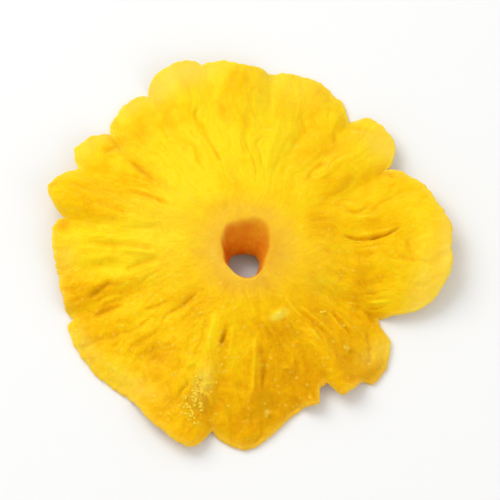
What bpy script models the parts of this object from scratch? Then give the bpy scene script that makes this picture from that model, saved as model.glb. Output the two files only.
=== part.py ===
"""A dried pineapple ring: one thin, frilled slice of the fruit, with a small hole where its core was cut out.

The ring lies on a flat surface with its shown side up. Its hub stands clear of the surface, and it rests
on the tips of the petals that droop. Sizes are in metres, with +Z up. The origin is on the surface, under
the middle of the ring.
"""

import math
from collections import namedtuple

import bmesh
import bpy
from mathutils import Vector, noise

MM = 0.001

# The hub is the thick flesh round the hole, and the rim is the thin edge of the petals.
HUB_THICKNESS = 6.0 * MM
RIM_THICKNESS = 2.0 * MM
HUB_CLEARANCE = 2.6 * MM
RIM_ROUNDING = 0.9 * MM
DROOP = 1.7
NOTCH_DROOP = 0.4

# The petals in front of the hub are shorter than those behind it by twice this size.
HUB_FORWARD = 2.1 * MM

# The pale core zone round the hole is a little thinner than the flesh outside it.
CORE_RADIUS = 10.4 * MM
CORE_DIP = 0.5 * MM

# The hole is wide at the upper face and narrow at the lower one, and it leans, so more of its wall shows at
# the back. Each ripple of its outline is a number of waves, their height, and the angle in degrees of one
# crest. The ripples are a share less high at the lower face.
HOLE_TOP_RADIUS = 5.0 * MM
HOLE_LOW_RADIUS = 2.85 * MM
HOLE_LIP = 1.3 * MM
HOLE_LEAN = 4.0 * MM
HOLE_LEAN_ANGLE = 262.0
HOLE_LEAN_SPREAD = 15.0 * MM
HOLE_EVENING = 0.6
HOLE_RIPPLES = ((2, 0.60 * MM, 92.0), (3, 0.30 * MM, 275.0), (5, 0.30 * MM, 54.0))

# The petals run anticlockwise, and each starts at a notch in the rim. The angles are in degrees. Notch and
# reach are distances from the middle of the hole. Lean is where the tip lies between the petal's notches,
# and a petal of low power is blunt. Lift is the height of the tip's underside, where under zero presses it
# flat on the surface, and curl is how far the edge turns up again. A valley runs in from the notch: it has
# a depth, and it starts at a share of the notch's distance.
Petal = namedtuple("Petal", "start notch reach lean power lift curl valley valley_start")
PETALS = (
    Petal(30.0, 33.0 * MM, 38.0 * MM, 0.42, 0.69, 1.3 * MM, 0.1 * MM, 0.8 * MM, 0.60),
    Petal(53.0, 35.4 * MM, 39.4 * MM, 0.45, 0.67, -2.6 * MM, 0.0 * MM, 0.9 * MM, 0.55),
    Petal(83.0, 39.2 * MM, 40.4 * MM, 0.55, 0.69, 1.7 * MM, 0.2 * MM, 0.4 * MM, 0.70),
    Petal(103.0, 40.6 * MM, 42.4 * MM, 0.50, 0.62, 2.5 * MM, 0.5 * MM, 0.5 * MM, 0.66),
    Petal(121.0, 39.4 * MM, 40.4 * MM, 0.45, 0.69, -1.8 * MM, 0.0 * MM, 0.8 * MM, 0.58),
    Petal(138.0, 37.4 * MM, 40.2 * MM, 0.55, 0.69, 1.8 * MM, 0.2 * MM, 0.6 * MM, 0.60),
    Petal(154.0, 38.4 * MM, 42.0 * MM, 0.60, 0.78, 3.2 * MM, 0.4 * MM, 0.7 * MM, 0.52),
    Petal(171.0, 37.2 * MM, 39.8 * MM, 0.25, 0.69, 1.8 * MM, 0.1 * MM, 0.8 * MM, 0.48),
    Petal(189.0, 38.4 * MM, 39.2 * MM, 0.40, 0.90, 1.0 * MM, 0.0 * MM, 0.4 * MM, 0.60),
    Petal(203.5, 38.8 * MM, 40.8 * MM, 0.30, 0.69, -1.8 * MM, 0.0 * MM, 0.9 * MM, 0.55),
    Petal(229.0, 39.8 * MM, 44.5 * MM, 0.81, 0.60, 1.4 * MM, 0.5 * MM, 0.5 * MM, 0.62),
    Petal(259.2, 39.0 * MM, 43.0 * MM, 0.44, 1.06, -1.8 * MM, 0.0 * MM, 0.7 * MM, 0.58),
    Petal(286.5, 36.2 * MM, 36.8 * MM, 0.60, 0.70, 0.5 * MM, 0.0 * MM, 0.5 * MM, 0.62),
    Petal(298.0, 33.2 * MM, 38.2 * MM, 0.46, 0.69, 1.0 * MM, 0.0 * MM, 0.7 * MM, 0.58),
    Petal(310.0, 36.6 * MM, 38.0 * MM, 0.51, 0.36, -1.8 * MM, 0.2 * MM, 0.4 * MM, 0.78),
    Petal(330.6, 29.2 * MM, 41.9 * MM, 0.41, 0.70, 2.4 * MM, 1.1 * MM, 1.1 * MM, 0.60),
)
PETAL_BELLY = 0.45 * MM
BELLY_START = 0.25
CURL_START = 0.78
VALLEY_HALF_WIDTH = 1.9 * MM

# Other creases of the slice, each from one angle at its inner end to another at its outer end, between two
# radii, with a depth and half its width.
Crease = namedtuple("Crease", "inner_angle outer_angle inner outer depth half_width")
FOLDS = (
    Crease(7.0, 4.0, 20.0 * MM, 33.0 * MM, 0.5 * MM, 2.4 * MM),
    Crease(203.0, 198.0, 23.0 * MM, 34.0 * MM, 0.8 * MM, 2.5 * MM),
    Crease(225.0, 223.0, 14.0 * MM, 21.0 * MM, 0.4 * MM, 1.6 * MM),
    Crease(246.0, 252.0, 20.0 * MM, 34.0 * MM, 0.5 * MM, 2.2 * MM),
    Crease(280.0, 281.0, 20.0 * MM, 34.0 * MM, 0.4 * MM, 2.2 * MM),
    Crease(98.0, 112.0, 17.0 * MM, 29.0 * MM, 0.5 * MM, 1.9 * MM),
    Crease(139.0, 152.0, 18.0 * MM, 28.0 * MM, 0.4 * MM, 1.9 * MM),
    Crease(67.0, 65.0, 18.0 * MM, 32.0 * MM, 0.4 * MM, 2.4 * MM),
)
CREASE_FADE = 5.0 * MM
CREASE_THINNING = 0.35

# Broad unevenness of the dried flesh.
WARP_LENGTH = 15.0 * MM
WARP_HEIGHT = 0.8 * MM

# The blank is the flat, round-edged ring that is turned first and then takes the dried ring's form.
BLANK_HOLE = 5.0 * MM
BLANK_RIM = 40.0 * MM
BLANK_HALF_THICKNESS = 2.0 * MM
STEP_DEGREES = 1.95
FACE_BANDS = 10
EDGE_STEPS = 4
WALL_STEPS = 4

FLESH_COLOUR = (0.93, 0.55, 0.03, 1.0)
FLESH_ROUGHNESS = 0.42


def mix(first, second, share):
    return first + (second - first) * share


def ease(share):
    """Goes from 0 to 1 with a level start and end."""
    share = min(max(share, 0.0), 1.0)
    return share * share * (3.0 - 2.0 * share)


def petal_at(angle):
    """The petal at an angle in degrees, the one after it, and where the angle lies between their notches."""
    for i, petal in enumerate(PETALS):
        after = PETALS[(i + 1) % len(PETALS)]
        width = (after.start - petal.start) % 360.0
        offset = (angle - petal.start) % 360.0
        if offset < width:
            return petal, after, offset / width
    raise ValueError(f"no petal at {angle} degrees")


def rim_radius(angle):
    """Distance of the rim from the middle of the hole."""
    petal, after, share = petal_at(angle)
    straight = mix(petal.notch, after.notch, share)
    rise = petal.reach - mix(petal.notch, after.notch, petal.lean)
    swell = math.sin(math.pi * share ** (math.log(0.5) / math.log(petal.lean)))
    return straight + rise * max(swell, 0.0) ** petal.power


def hole_radius(angle, up):
    """Distance of the hole's wall from its middle. Up is 1 at the upper face and -1 at the lower one."""
    low = (1.0 - up) / 2.0
    waves = 0.0
    for count, height, crest in HOLE_RIPPLES:
        waves += height * math.cos(count * math.radians(angle - crest))
    return mix(HOLE_TOP_RADIUS, HOLE_LOW_RADIUS, ease(low)) + waves * (1.0 - HOLE_EVENING * low)


def hole_lean(radius, up):
    """How far the flesh near the hole leans, which is most at the lower face."""
    near = 1.0 - ease((radius - HOLE_LOW_RADIUS) / HOLE_LEAN_SPREAD)
    return HOLE_LEAN * near * (1.0 - up) / 2.0


def tips():
    """The angle and the lift of each petal's tip, in order."""
    for i, petal in enumerate(PETALS):
        width = (PETALS[(i + 1) % len(PETALS)].start - petal.start) % 360.0
        yield petal.start + petal.lean * width, petal.lift


def rim_lift(angle):
    """Height of the rim's underside, eased from one petal's tip to the next."""
    found = list(tips())
    for i, (tip, lift) in enumerate(found):
        next_tip, next_lift = found[(i + 1) % len(found)]
        gap = (next_tip - tip) % 360.0
        offset = (angle - tip) % 360.0
        if offset < gap:
            return mix(lift, next_lift, ease(offset / gap))
    raise ValueError(f"no tip near {angle} degrees")


def valleys():
    """The valley that runs in from each notch."""
    for petal in PETALS:
        inner = petal.valley_start * petal.notch
        yield Crease(petal.start, petal.start, inner, petal.notch, petal.valley, VALLEY_HALF_WIDTH)


CREASES = (*valleys(), *FOLDS)


def crease_depth(angle, radius):
    """How far the creases sink the flesh at a point."""
    depth = 0.0
    for crease in CREASES:
        along = (radius - crease.inner) / (crease.outer - crease.inner)
        line = mix(crease.inner_angle, crease.outer_angle, min(max(along, 0.0), 1.0))
        turn = (angle - line + 180.0) % 360.0 - 180.0
        aside = math.radians(turn) * radius
        beyond = max(crease.inner - radius, radius - crease.outer, 0.0)
        across = math.exp(-((aside / crease.half_width) ** 2))
        depth += crease.depth * across * (1.0 - ease(beyond / CREASE_FADE)) * ease(along + 0.5)
    return depth


def middle_height(angle, radius):
    """Height of the middle of the flesh."""
    petal, _, share = petal_at(angle)
    edge = mix(BLANK_RIM, rim_radius(angle), NOTCH_DROOP)
    out = max(radius - HOLE_TOP_RADIUS, 0.0) / (edge - HOLE_TOP_RADIUS)
    hub = HUB_CLEARANCE + HUB_THICKNESS / 2.0
    rim = rim_lift(angle) + RIM_THICKNESS / 2.0
    across = math.sin(math.pi * share) ** 2
    belly = PETAL_BELLY * across * ease((out - BELLY_START) / (1.0 - BELLY_START))
    curl = petal.curl * across * ease((out - CURL_START) / (1.0 - CURL_START))
    x, y = radius * math.cos(math.radians(angle)), radius * math.sin(math.radians(angle))
    warp = WARP_HEIGHT * noise.noise(Vector((x, y, 0.0)) / WARP_LENGTH) * ease(out * 1.5)
    fold = crease_depth(angle, radius) * (1.0 - CREASE_THINNING)
    return mix(hub, rim, out**DROOP) + belly + curl + warp - fold


def half_thickness(radius, out):
    """Half the thickness of the flesh, with the core's zone a little thinner than the flesh round it."""
    core = ease((CORE_RADIUS - radius) / (CORE_RADIUS * 0.4) + 0.5)
    return mix(HUB_THICKNESS, RIM_THICKNESS, ease(out) ** 0.8) / 2.0 - core * CORE_DIP / 2.0


def section():
    """The blank's cross-section, as (out, up): up is 1 on the upper face and -1 on the lower one."""
    wall = HOLE_LIP / (BLANK_RIM - BLANK_HOLE)
    edge = RIM_ROUNDING / (BLANK_RIM - BLANK_HOLE)
    face = [mix(wall, 1.0 - edge, i / FACE_BANDS) for i in range(FACE_BANDS + 1)]
    points = [(out, 1.0) for out in face]
    for i in range(1, EDGE_STEPS):
        turn = math.pi * i / EDGE_STEPS
        points.append((1.0 - edge * (1.0 - math.sin(turn)), math.cos(turn)))
    points += [(out, -1.0) for out in reversed(face)]
    for i in range(1, WALL_STEPS):
        turn = math.pi * i / WALL_STEPS
        points.append((wall * (1.0 - math.sin(turn)), -math.cos(turn)))
    return points


def turned_blank():
    """A flat ring with round edges, made by turning its cross-section about the hole's axis."""
    blank = bmesh.new()
    corners = []
    for out, up in section():
        place = (mix(BLANK_HOLE, BLANK_RIM, out), 0.0, up * BLANK_HALF_THICKNESS)
        corners.append(blank.verts.new(place))
    sides = [blank.edges.new((a, b)) for a, b in zip(corners, corners[1:] + corners[:1])]
    bmesh.ops.spin(
        blank,
        geom=corners + sides,
        axis=(0.0, 0.0, 1.0),
        angle=math.tau,
        steps=len(ANGLES),
        use_merge=True,
    )
    bmesh.ops.recalc_face_normals(blank, faces=blank.faces)
    return blank


def step_angles():
    """The angles of the ring's rows of points, with a row on each notch."""
    angles = []
    for i, petal in enumerate(PETALS):
        width = (PETALS[(i + 1) % len(PETALS)].start - petal.start) % 360.0
        steps = round(width / STEP_DEGREES)
        angles += [petal.start + width * step / steps for step in range(steps)]
    return angles


ANGLES = step_angles()


def dried(point):
    """Where a point of the blank lies in the dried ring."""
    turn = math.atan2(point.y, point.x) % math.tau
    angle = ANGLES[round(turn / math.tau * len(ANGLES)) % len(ANGLES)]
    out = max(math.hypot(point.x, point.y) - BLANK_HOLE, 0.0) / (BLANK_RIM - BLANK_HOLE)
    up = point.z / BLANK_HALF_THICKNESS
    radius = mix(hole_radius(angle, up), BLANK_RIM, out) + (rim_radius(angle) - BLANK_RIM) * out**2
    half = half_thickness(radius, out)
    height = max(middle_height(angle, radius), half) + up * half
    height -= ease((up + 1.0) / 2.0) * crease_depth(angle, radius) * CREASE_THINNING
    lean = hole_lean(radius, up)
    x = radius * math.cos(math.radians(angle)) + lean * math.cos(math.radians(HOLE_LEAN_ANGLE))
    y = radius * math.sin(math.radians(angle)) + lean * math.sin(math.radians(HOLE_LEAN_ANGLE))
    return Vector((x, y + HUB_FORWARD * out**DROOP, height))


def split_faces_alike(body):
    """Cuts both faces into triangles along the same lines, so the thin flesh keeps its thickness."""
    upper = [face for face in body.faces if face.normal.z >= 0.0]
    lower = [face for face in body.faces if face.normal.z < 0.0]
    bmesh.ops.triangulate(body, faces=upper, quad_method="FIXED")
    bmesh.ops.triangulate(body, faces=lower, quad_method="ALTERNATE")


def flesh():
    """Golden, slightly moist fruit."""
    material = bpy.data.materials.new("dried_flesh")
    material.use_nodes = True
    shader = material.node_tree.nodes["Principled BSDF"]
    shader.inputs["Base Color"].default_value = FLESH_COLOUR
    shader.inputs["Roughness"].default_value = FLESH_ROUGHNESS
    material.diffuse_color = FLESH_COLOUR
    return material


def pineapple_ring():
    """The whole ring, centred over the origin."""
    body = turned_blank()
    split_faces_alike(body)
    for vert in body.verts:
        vert.co = dried(vert.co)
    spans = [[vert.co[axis] for vert in body.verts] for axis in (0, 1)]
    centre = Vector([(min(span) + max(span)) / 2.0 for span in spans] + [0.0])
    bmesh.ops.translate(body, verts=body.verts, vec=-centre)
    mesh = bpy.data.meshes.new("pineapple_ring")
    body.to_mesh(mesh)
    body.free()
    mesh.shade_smooth()
    mesh.materials.append(flesh())
    ring = bpy.data.objects.new("pineapple_ring", mesh)
    bpy.context.scene.collection.objects.link(ring)
    return ring


for old in list(bpy.data.objects):
    bpy.data.objects.remove(old)
pineapple_ring()
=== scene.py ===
"""Looks for the dried pineapple ring: the fine form of the fruit, its golden flesh, the crumbs that cling to
it, and the pale studio where it lies.

The fruit is a sheet of points that is rolled up into a flat ring with round edges. Each point then moves to
its place in the dried ring, as in the plain solid, but there are far more of them. Lengths are in metres.
Angles are in degrees, anticlockwise from +X as seen from above.
"""

import math
import random
from collections import namedtuple

import bmesh
import bpy
import numpy as np
from mathutils import Matrix, Vector, noise


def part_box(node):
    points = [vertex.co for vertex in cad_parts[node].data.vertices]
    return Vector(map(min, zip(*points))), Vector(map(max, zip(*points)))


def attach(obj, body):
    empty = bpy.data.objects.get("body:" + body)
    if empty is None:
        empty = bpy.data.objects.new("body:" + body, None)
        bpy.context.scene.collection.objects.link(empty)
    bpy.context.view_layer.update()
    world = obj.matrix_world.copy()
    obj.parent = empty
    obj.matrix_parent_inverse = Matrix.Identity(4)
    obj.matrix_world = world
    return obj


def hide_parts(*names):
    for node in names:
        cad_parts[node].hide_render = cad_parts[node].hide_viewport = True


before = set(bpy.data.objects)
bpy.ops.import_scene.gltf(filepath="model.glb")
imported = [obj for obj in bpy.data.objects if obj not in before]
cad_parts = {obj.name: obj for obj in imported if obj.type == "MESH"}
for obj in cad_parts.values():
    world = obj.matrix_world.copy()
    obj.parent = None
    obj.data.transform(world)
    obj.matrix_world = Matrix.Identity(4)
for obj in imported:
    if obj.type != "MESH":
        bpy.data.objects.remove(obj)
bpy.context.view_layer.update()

MM = 0.001

# The main form has the solid's own sizes, but for the hole. It is about 0.8 mm narrower at the top, and its
# lower end is a little wider, so that the opening stays clear. The hub is the thick flesh round the hole, and
# the rim is the thin edge of the petals.
HUB_THICKNESS = 6.0 * MM
RIM_THICKNESS = 2.0 * MM
HUB_CLEARANCE = 2.6 * MM
DROOP = 1.7
NOTCH_DROOP = 0.4
THINNING_POWER = 0.8
HUB_FORWARD = 2.1 * MM

CORE_RADIUS = 10.4 * MM
CORE_BLEND = 0.4 * CORE_RADIUS
CORE_DIP = 0.5 * MM

HOLE_TOP_RADIUS = 4.8 * MM
HOLE_LOW_RADIUS = 2.95 * MM
HOLE_LIP = 1.3 * MM
HOLE_LEAN = 4.0 * MM
HOLE_LEAN_ANGLE = 262.0
HOLE_LEAN_SPREAD = 15.0 * MM
HOLE_EVENING = 0.6
HOLE_RIPPLES = ((2, 0.80 * MM, 86.0), (3, 0.30 * MM, 277.0), (5, 0.15 * MM, 62.0))
HOLE_LOW_RIPPLES = ((2, 0.60 * MM, 92.0), (3, 0.30 * MM, 275.0), (5, 0.30 * MM, 54.0))

# Each petal of the rim: the angle of its notch, the notch's and the tip's distance from the hole, where the
# tip lies between two notches, how pointed it is, how high the tip's underside is, how far the edge turns
# up, and the depth and the start of the valley that runs in from the notch.
Petal = namedtuple("Petal", "start notch reach lean power lift curl valley valley_start")
PETALS = (
    Petal(30.0, 33.0 * MM, 38.0 * MM, 0.42, 0.69, 1.3 * MM, 0.1 * MM, 0.8 * MM, 0.60),
    Petal(53.0, 35.4 * MM, 39.4 * MM, 0.45, 0.67, -2.6 * MM, 0.0 * MM, 0.9 * MM, 0.55),
    Petal(83.0, 39.2 * MM, 40.4 * MM, 0.55, 0.69, 1.7 * MM, 0.2 * MM, 0.4 * MM, 0.70),
    Petal(103.0, 40.6 * MM, 42.4 * MM, 0.50, 0.62, 2.5 * MM, 0.5 * MM, 0.5 * MM, 0.66),
    Petal(121.0, 39.4 * MM, 40.4 * MM, 0.45, 0.69, -1.8 * MM, 0.0 * MM, 0.8 * MM, 0.58),
    Petal(138.0, 37.4 * MM, 40.2 * MM, 0.55, 0.69, 1.8 * MM, 0.2 * MM, 0.6 * MM, 0.60),
    Petal(154.0, 38.4 * MM, 42.0 * MM, 0.60, 0.78, 3.2 * MM, 0.4 * MM, 0.7 * MM, 0.52),
    Petal(171.0, 37.2 * MM, 39.8 * MM, 0.25, 0.69, 1.8 * MM, 0.1 * MM, 0.8 * MM, 0.48),
    Petal(189.0, 38.4 * MM, 39.2 * MM, 0.40, 0.90, 1.0 * MM, 0.0 * MM, 0.4 * MM, 0.60),
    Petal(203.5, 38.8 * MM, 40.8 * MM, 0.30, 0.69, -1.8 * MM, 0.0 * MM, 0.9 * MM, 0.55),
    Petal(229.0, 39.8 * MM, 44.5 * MM, 0.81, 0.60, 1.4 * MM, 0.5 * MM, 0.5 * MM, 0.62),
    Petal(259.2, 39.0 * MM, 43.0 * MM, 0.44, 1.06, -1.8 * MM, 0.0 * MM, 0.7 * MM, 0.58),
    Petal(286.5, 36.2 * MM, 36.8 * MM, 0.60, 0.70, 0.5 * MM, 0.0 * MM, 0.5 * MM, 0.62),
    Petal(298.0, 33.2 * MM, 38.2 * MM, 0.46, 0.69, 1.0 * MM, 0.0 * MM, 0.7 * MM, 0.58),
    Petal(310.0, 36.6 * MM, 38.0 * MM, 0.51, 0.36, -1.8 * MM, 0.2 * MM, 0.4 * MM, 0.78),
    Petal(330.6, 29.2 * MM, 41.9 * MM, 0.41, 0.70, 2.4 * MM, 1.1 * MM, 1.1 * MM, 0.60),
)
PETAL_BELLY = 0.45 * MM
BELLY_START = 0.25
CURL_START = 0.78
VALLEY_HALF_WIDTH = 1.9 * MM

Crease = namedtuple("Crease", "inner_angle outer_angle inner outer depth half_width")
FOLDS = (
    Crease(7.0, 4.0, 20.0 * MM, 33.0 * MM, 0.5 * MM, 2.4 * MM),
    Crease(203.0, 198.0, 23.0 * MM, 34.0 * MM, 0.8 * MM, 2.5 * MM),
    Crease(225.0, 223.0, 14.0 * MM, 21.0 * MM, 0.4 * MM, 1.6 * MM),
    Crease(246.0, 252.0, 20.0 * MM, 34.0 * MM, 0.5 * MM, 2.2 * MM),
    Crease(280.0, 281.0, 20.0 * MM, 34.0 * MM, 0.4 * MM, 2.2 * MM),
    Crease(98.0, 112.0, 17.0 * MM, 29.0 * MM, 0.5 * MM, 1.9 * MM),
    Crease(139.0, 152.0, 18.0 * MM, 28.0 * MM, 0.4 * MM, 1.9 * MM),
    Crease(67.0, 65.0, 18.0 * MM, 32.0 * MM, 0.4 * MM, 2.4 * MM),
)
CREASE_FADE = 5.0 * MM
CREASE_THINNING = 0.35

WARP_LENGTH = 15.0 * MM
WARP_HEIGHT = 0.8 * MM
WARP_GROWTH = 1.5

BLANK_HOLE = 5.0 * MM
BLANK_RIM = 40.0 * MM
BLANK_HALF_THICKNESS = 2.0 * MM
WELD_GAP = 0.001 * MM

# The rest of the form is finer than the solid. The hole's wall is uneven, by a length and a height. The flesh
# thins just inside the rim, and the rim is ragged where the skin was cut off: each raggedness is a length
# along the rim and a height.
STEP_DEGREES = 0.565
UPPER_BANDS = 108
LOWER_BANDS = 26
EDGE_STEPS = 8
WALL_STEPS = 12
WALL_UNEVENNESS = (2.6 * MM, 0.45 * MM)
EDGE_ROUNDING = 0.45 * MM
EDGE_TAPER = 4.0 * MM
EDGE_THINNING = 0.45
PRESSED_HEIGHT = 0.8 * MM
RAGGED = ((6.0 * MM, 0.60 * MM), (2.4 * MM, 0.50 * MM), (1.0 * MM, 0.30 * MM))

# The front and the right of the rim are cut and torn. Each corner has an angle, and a distance in millimetres
# from the middle of the hole.
TORN_RIM = (
    (229.0, 41.0),
    (232.5, 40.1),
    (237.0, 40.8),
    (244.0, 42.8),
    (250.0, 44.2),
    (254.4, 44.9),
    (256.6, 44.3),
    (258.2, 42.9),
    (260.1, 39.9),
    (261.8, 41.1),
    (266.0, 42.9),
    (270.0, 43.4),
    (273.0, 42.8),
    (277.5, 40.4),
    (284.7, 37.2),
    (288.7, 36.5),
    (293.6, 37.2),
    (296.0, 34.0),
    (299.0, 33.9),
    (300.6, 37.9),
    (305.5, 38.2),
    (309.6, 37.4),
    (311.2, 39.0),
    (317.6, 38.5),
    (325.8, 35.5),
    (328.6, 31.5),
    (330.6, 30.9),
    (333.0, 32.9),
    (338.0, 37.6),
    (342.0, 39.9),
    (348.0, 41.6),
    (354.0, 42.4),
    (359.0, 42.1),
)
TORN_FADE = 2.5
TORN_RAGGEDNESS = 0.5

# Fine lines of the upper face. Each runs through points that are an angle and a distance in millimetres from
# the middle of the hole. A depth under zero makes a ridge.
Line = namedtuple("Line", "points depth half_width")
LINES = (
    Line(((107.6, 32.5), (110.1, 30.3), (109.8, 29.0), (108.1, 26.1)), 0.40 * MM, 0.60 * MM),
    Line(((109.0, 27.5), (107.1, 22.7), (105.0, 19.0)), 0.45 * MM, 0.45 * MM),
    Line(((104.5, 28.5), (103.2, 24.0), (101.5, 20.5)), -0.28 * MM, 0.80 * MM),
    Line(((117.4, 25.9), (115.9, 23.8), (117.8, 21.1), (116.6, 18.1)), 0.40 * MM, 0.50 * MM),
    Line(((121.0, 24.5), (121.5, 21.5), (121.0, 18.0)), -0.28 * MM, 0.80 * MM),
    Line(((112.6, 26.0), (112.5, 22.0), (112.0, 18.5)), -0.22 * MM, 0.60 * MM),
    Line(((141.0, 30.6), (141.7, 26.5), (142.0, 22.7)), 0.35 * MM, 0.90 * MM),
    Line(((152.4, 27.5), (150.7, 23.5), (150.1, 20.7), (149.7, 18.0)), 0.42 * MM, 0.50 * MM),
    Line(((156.0, 26.0), (155.0, 22.0), (154.5, 18.5)), -0.25 * MM, 0.90 * MM),
    Line(((145.7, 36.4), (143.5, 35.0), (140.5, 34.2)), 0.35 * MM, 0.80 * MM),
    Line(((164.0, 24.0), (163.2, 28.5), (163.0, 33.0)), 0.30 * MM, 1.00 * MM),
    Line(((170.0, 17.0), (171.5, 24.0), (172.0, 31.0)), -0.25 * MM, 1.00 * MM),
    Line(((179.1, 33.0), (179.5, 25.2), (182.4, 18.8)), 0.32 * MM, 0.80 * MM),
    Line(((175.5, 18.0), (176.0, 26.0), (175.5, 35.0)), -0.35 * MM, 1.10 * MM),
    Line(((181.1, 26.0), (182.8, 22.3), (186.4, 17.8)), -0.42 * MM, 0.80 * MM),
    Line(((184.5, 34.0), (185.0, 30.0), (184.0, 26.5)), -0.25 * MM, 0.90 * MM),
    Line(((192.1, 25.8), (190.1, 22.1), (188.2, 18.1)), 0.35 * MM, 0.75 * MM),
    Line(((198.7, 34.3), (197.3, 31.5), (195.7, 29.2), (197.4, 27.4)), 0.60 * MM, 0.70 * MM),
    Line(((201.8, 33.0), (201.4, 30.0), (201.6, 27.0)), -0.30 * MM, 0.60 * MM),
    Line(((205.2, 34.3), (204.8, 31.9), (205.3, 29.2), (205.1, 27.2)), 0.50 * MM, 0.60 * MM),
    Line(((213.0, 25.2), (214.9, 21.9), (216.7, 18.7)), 0.28 * MM, 0.50 * MM),
    Line(((221.5, 22.0), (223.9, 18.9), (224.8, 15.9), (225.6, 14.0)), 0.32 * MM, 0.50 * MM),
    Line(((228.6, 21.0), (229.0, 17.5), (231.0, 14.5)), -0.25 * MM, 0.80 * MM),
    Line(((248.0, 16.0), (249.0, 21.0), (251.0, 26.0)), -0.30 * MM, 0.90 * MM),
    Line(((257.2, 18.3), (256.5, 21.1), (256.7, 22.8)), 0.62 * MM, 0.60 * MM),
    Line(((245.3, 29.8), (245.7, 28.4), (247.6, 27.4), (250.8, 27.9)), -0.40 * MM, 0.36 * MM),
    Line(((247.7, 29.8), (249.9, 31.1), (249.7, 32.3)), -0.40 * MM, 0.34 * MM),
    Line(((253.2, 33.0), (254.8, 31.1), (258.6, 29.8)), -0.55 * MM, 0.40 * MM),
    Line(((251.6, 33.1), (254.7, 32.9), (257.7, 33.6), (259.1, 35.2)), -0.55 * MM, 0.42 * MM),
    Line(((249.1, 37.0), (249.3, 35.5), (248.1, 34.1)), -0.36 * MM, 0.36 * MM),
    Line(((245.7, 39.0), (247.6, 40.0), (249.6, 40.3)), -0.36 * MM, 0.40 * MM),
    Line(((246.8, 30.9), (248.5, 32.3), (247.2, 34.0), (247.3, 35.8)), 0.45 * MM, 0.42 * MM),
    Line(((254.2, 34.6), (256.3, 34.5), (257.8, 35.9)), 0.45 * MM, 0.42 * MM),
    Line(((261.5, 17.5), (262.0, 21.0), (261.5, 26.0)), -0.20 * MM, 0.60 * MM),
    Line(((275.5, 19.5), (274.6, 22.4), (273.0, 28.0), (271.6, 33.2)), -0.38 * MM, 0.60 * MM),
    Line(((278.4, 21.0), (277.6, 26.0), (276.4, 31.0)), 0.25 * MM, 0.60 * MM),
    Line(((291.5, 15.7), (295.0, 16.2), (298.0, 15.4)), -0.45 * MM, 0.70 * MM),
    Line(((291.0, 17.3), (294.5, 17.8), (298.0, 17.2)), 0.30 * MM, 0.50 * MM),
    Line(((305.0, 13.6), (305.0, 15.1), (305.4, 17.3), (306.4, 20.0)), -0.30 * MM, 0.45 * MM),
    Line(((305.8, 21.3), (306.1, 23.9), (306.2, 26.1)), -0.32 * MM, 0.34 * MM),
    Line(((301.7, 23.7), (302.5, 25.6), (302.2, 26.9)), -0.28 * MM, 0.32 * MM),
    Line(((284.7, 26.5), (287.9, 27.3), (289.7, 28.8)), -0.28 * MM, 0.36 * MM),
    Line(((307.5, 16.8), (309.8, 21.0), (311.2, 26.0)), 0.24 * MM, 0.36 * MM),
    Line(((310.5, 17.0), (312.2, 21.0), (313.6, 26.5)), -0.26 * MM, 0.38 * MM),
    Line(((320.8, 21.0), (318.1, 25.4), (317.2, 28.0)), -0.28 * MM, 0.34 * MM),
    Line(((321.8, 22.0), (319.6, 26.2), (318.8, 28.6)), 0.25 * MM, 0.30 * MM),
    Line(((322.8, 23.0), (321.2, 27.1), (320.2, 29.2)), -0.28 * MM, 0.34 * MM),
    Line(((325.1, 29.7), (320.2, 32.4), (316.8, 34.5), (312.8, 35.8)), 0.24 * MM, 0.50 * MM),
    Line(((336.1, 25.4), (338.7, 27.6), (339.0, 29.5)), 0.30 * MM, 0.40 * MM),
    Line(((331.8, 27.3), (333.3, 29.4), (336.0, 31.7)), 0.30 * MM, 0.40 * MM),
    Line(((333.8, 27.0), (336.0, 29.5), (338.5, 32.0)), -0.30 * MM, 0.40 * MM),
    Line(((329.0, 16.0), (329.0, 20.0), (330.0, 24.0)), 0.25 * MM, 0.90 * MM),
    Line(((7.0, 19.7), (4.2, 22.4), (4.0, 26.0), (5.1, 28.6), (7.4, 32.6)), 0.55 * MM, 0.42 * MM),
    Line(((6.4, 23.5), (6.2, 28.0), (7.0, 33.0)), -0.25 * MM, 0.70 * MM),
    Line(((19.0, 20.6), (15.5, 24.0), (12.4, 28.0)), -0.28 * MM, 0.60 * MM),
    Line(((22.2, 21.4), (18.1, 24.2), (20.2, 27.0)), 0.38 * MM, 0.60 * MM),
    Line(((3.5, 32.9), (-1.9, 33.2), (-5.9, 34.5), (-7.2, 35.5)), 0.32 * MM, 0.70 * MM),
    Line(((-4.0, 15.0), (-6.0, 21.0), (-4.5, 27.0)), 0.20 * MM, 1.00 * MM),
    Line(((-14.0, 15.5), (-15.0, 19.5), (-14.0, 24.0)), -0.22 * MM, 0.90 * MM),
    Line(((29.9, 32.5), (27.0, 33.6), (25.2, 34.4)), 0.45 * MM, 0.60 * MM),
    Line(((32.0, 18.0), (33.0, 23.0), (36.0, 27.0)), 0.22 * MM, 0.90 * MM),
    Line(((49.3, 18.9), (51.2, 21.5), (50.3, 23.8), (48.6, 26.0)), 0.38 * MM, 0.60 * MM),
    Line(((45.0, 21.0), (45.5, 25.0), (44.0, 29.0)), -0.25 * MM, 0.90 * MM),
    Line(((52.1, 33.7), (45.1, 35.8), (41.6, 36.6)), 0.30 * MM, 0.70 * MM),
    Line(((66.0, 16.0), (67.0, 22.0), (66.0, 29.0)), 0.20 * MM, 0.90 * MM),
    Line(((76.0, 17.0), (77.0, 23.0), (75.5, 30.0)), -0.22 * MM, 1.00 * MM),
    Line(((90.0, 19.0), (90.5, 25.0), (89.0, 31.0)), 0.20 * MM, 0.80 * MM),
)
LINE_OVERRUN = 0.3 * MM
LINE_TAPER = 2.2 * MM
LINE_DEEPENING = 1.35
LINE_NARROWING = 0.8

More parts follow.
